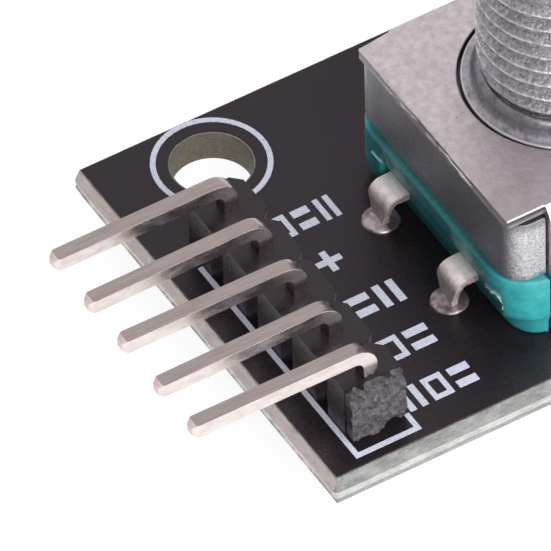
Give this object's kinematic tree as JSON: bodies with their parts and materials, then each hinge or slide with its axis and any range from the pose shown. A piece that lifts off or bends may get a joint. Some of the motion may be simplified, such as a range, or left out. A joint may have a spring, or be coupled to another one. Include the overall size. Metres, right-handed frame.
{
  "type": "rotary encoder module",
  "caption": "Small circuit board carrying a panel-mount rotary encoder with a D shaft and push switch, plus a right-angle pin header.",
  "frame": {"origin": "where the shaft axis crosses the panel face of the encoder's bracket", "axes": "+Z along the shaft, away from the board; +X from the header end of the board to the plain end; +Y towards the side with the fixing holes"},
  "size_m": [0.0313, 0.0194, 0.0299],
  "materials": {
    "laminate": "matt glass-fibre laminate, rough cut edges",
    "mask": "satin black lacquer",
    "tinned_copper": "tinned copper",
    "ink": "matt white printing ink",
    "solder": "dull bright solder",
    "header_plastic": "fine-grained black moulding",
    "pin_metal": "tin plate, softly shiny",
    "resistor_body": "black glazed chip",
    "tinned_caps": "tinned ends",
    "teal_plastic": "satin teal moulding, slightly translucent",
    "black_plastic": "matt black moulding",
    "white_plastic": "matt off-white moulding",
    "lead_metal": "tinned brass strip",
    "die_cast_zinc": "raw zinc die casting, grainy",
    "bracket_steel": "plated sheet steel, sheared edges",
    "contact_brass": "bright contact metal",
    "spring_steel": "bright spring sheet",
    "shaft_metal": "turned, fine rings",
    "ring_steel": "hardened steel"
  },
  "bodies": {
    "module": {"circuit_board": "laminate", "solder_mask": "mask", "copper_lands": "tinned_copper", "printed_marks": "ink", "solder_joints": "solder", "header_strip": "header_plastic", "header_pin_1": "pin_metal", "header_pin_2": "pin_metal", "header_pin_3": "pin_metal", "header_pin_4": "pin_metal", "header_pin_5": "pin_metal", "resistor_1": "resistor_body", "resistor_2": "resistor_body", "resistor_caps": "tinned_caps", "terminal_base": "teal_plastic", "switch_cover": "black_plastic", "terminal_a": "lead_metal", "terminal_b": "lead_metal", "terminal_common": "lead_metal", "switch_terminal_1": "lead_metal", "switch_terminal_2": "lead_metal", "bushing_housing": "die_cast_zinc", "mounting_bracket": "bracket_steel", "switch_dome": "spring_steel"},
    "rotor": {"rotor": "black_plastic", "code_disc": "contact_brass", "detent_spring": "spring_steel"},
    "shaft": {"shaft": "shaft_metal", "retaining_ring": "ring_steel"},
    "plunger": {"switch_plunger": "white_plastic"}
  },
  "joints": [
    {"name": "shaft_turn", "type": "hinge", "parent": "module", "child": "rotor", "pos_m": [0, 0, 0], "axis": [0, 0, 1], "continuous": true},
    {"name": "shaft_push", "type": "slide", "parent": "rotor", "child": "shaft", "axis": [0, 0, -1], "range_m": [0, 0.0005], "stiffness_N_per_m": 6000, "springref_m": -0.0003},
    {"name": "plunger_push", "type": "slide", "parent": "module", "child": "plunger", "axis": [0, 0, -1], "range_m": [0, 0.0005], "deforming": ["switch_dome"]}
  ],
  "couplings": [
    {"joint": "plunger_push", "follows": "shaft_push", "ratio": 1}
  ]
}
